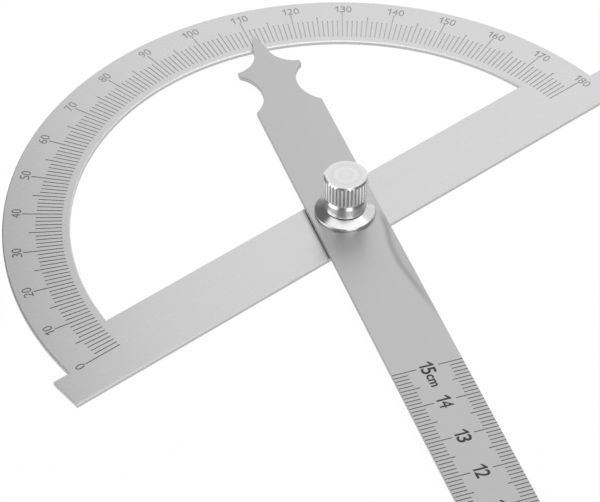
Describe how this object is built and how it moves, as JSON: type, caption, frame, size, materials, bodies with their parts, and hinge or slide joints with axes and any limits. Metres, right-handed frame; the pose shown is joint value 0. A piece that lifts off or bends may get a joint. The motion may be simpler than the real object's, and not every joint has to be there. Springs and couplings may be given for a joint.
{
  "type": "protractor with ruler arm",
  "caption": "Sheet steel protractor on a straight bar, with a ruler arm and pointer that turn on a stud and are clamped by a knurled thumb nut.",
  "frame": {"origin": "on the pivot's axis, in the plane of the plate's back face, at the middle of the stud's flush head", "axes": "+X along the bar towards 180 degrees, +Y from the bar towards the middle of the arc, +Z out of the marked face towards the thumb nut"},
  "size_m": [0.158, 0.2648, 0.0131],
  "materials": {
    "plate_steel": "satin stainless sheet with engraved grey degree marks",
    "arm_steel": "satin stainless sheet with engraved grey ruler marks",
    "stud_steel": "plain turned steel",
    "washer_steel": "plain rolled steel",
    "polished_steel": "polished",
    "nut_steel": "bright turned and straight knurled"
  },
  "bodies": {
    "protractor": {"protractor_plate": "plate_steel", "pivot_stud": "stud_steel", "friction_washer": "washer_steel"},
    "arm": {"ruler_arm": "arm_steel"},
    "washer": {"clamping_washer": "polished_steel"},
    "nut": {"thumb_nut": "nut_steel"}
  },
  "joints": [
    {"name": "arm_turn", "type": "hinge", "parent": "protractor", "child": "arm", "pos_m": [0, 0, 0.0018], "axis": [0, 0, 1], "continuous": true},
    {"name": "nut_lift", "type": "slide", "parent": "protractor", "child": "washer", "axis": [0, 0, 1], "range_m": [0, 0.0014]},
    {"name": "nut_turn", "type": "hinge", "parent": "washer", "child": "nut", "pos_m": [0, 0, 0.004], "axis": [0, 0, 1], "range_deg": [0, 720]}
  ],
  "couplings": [
    {"joint": "nut_turn", "follows": "nut_lift", "rad_per_m": 8975.9}
  ]
}
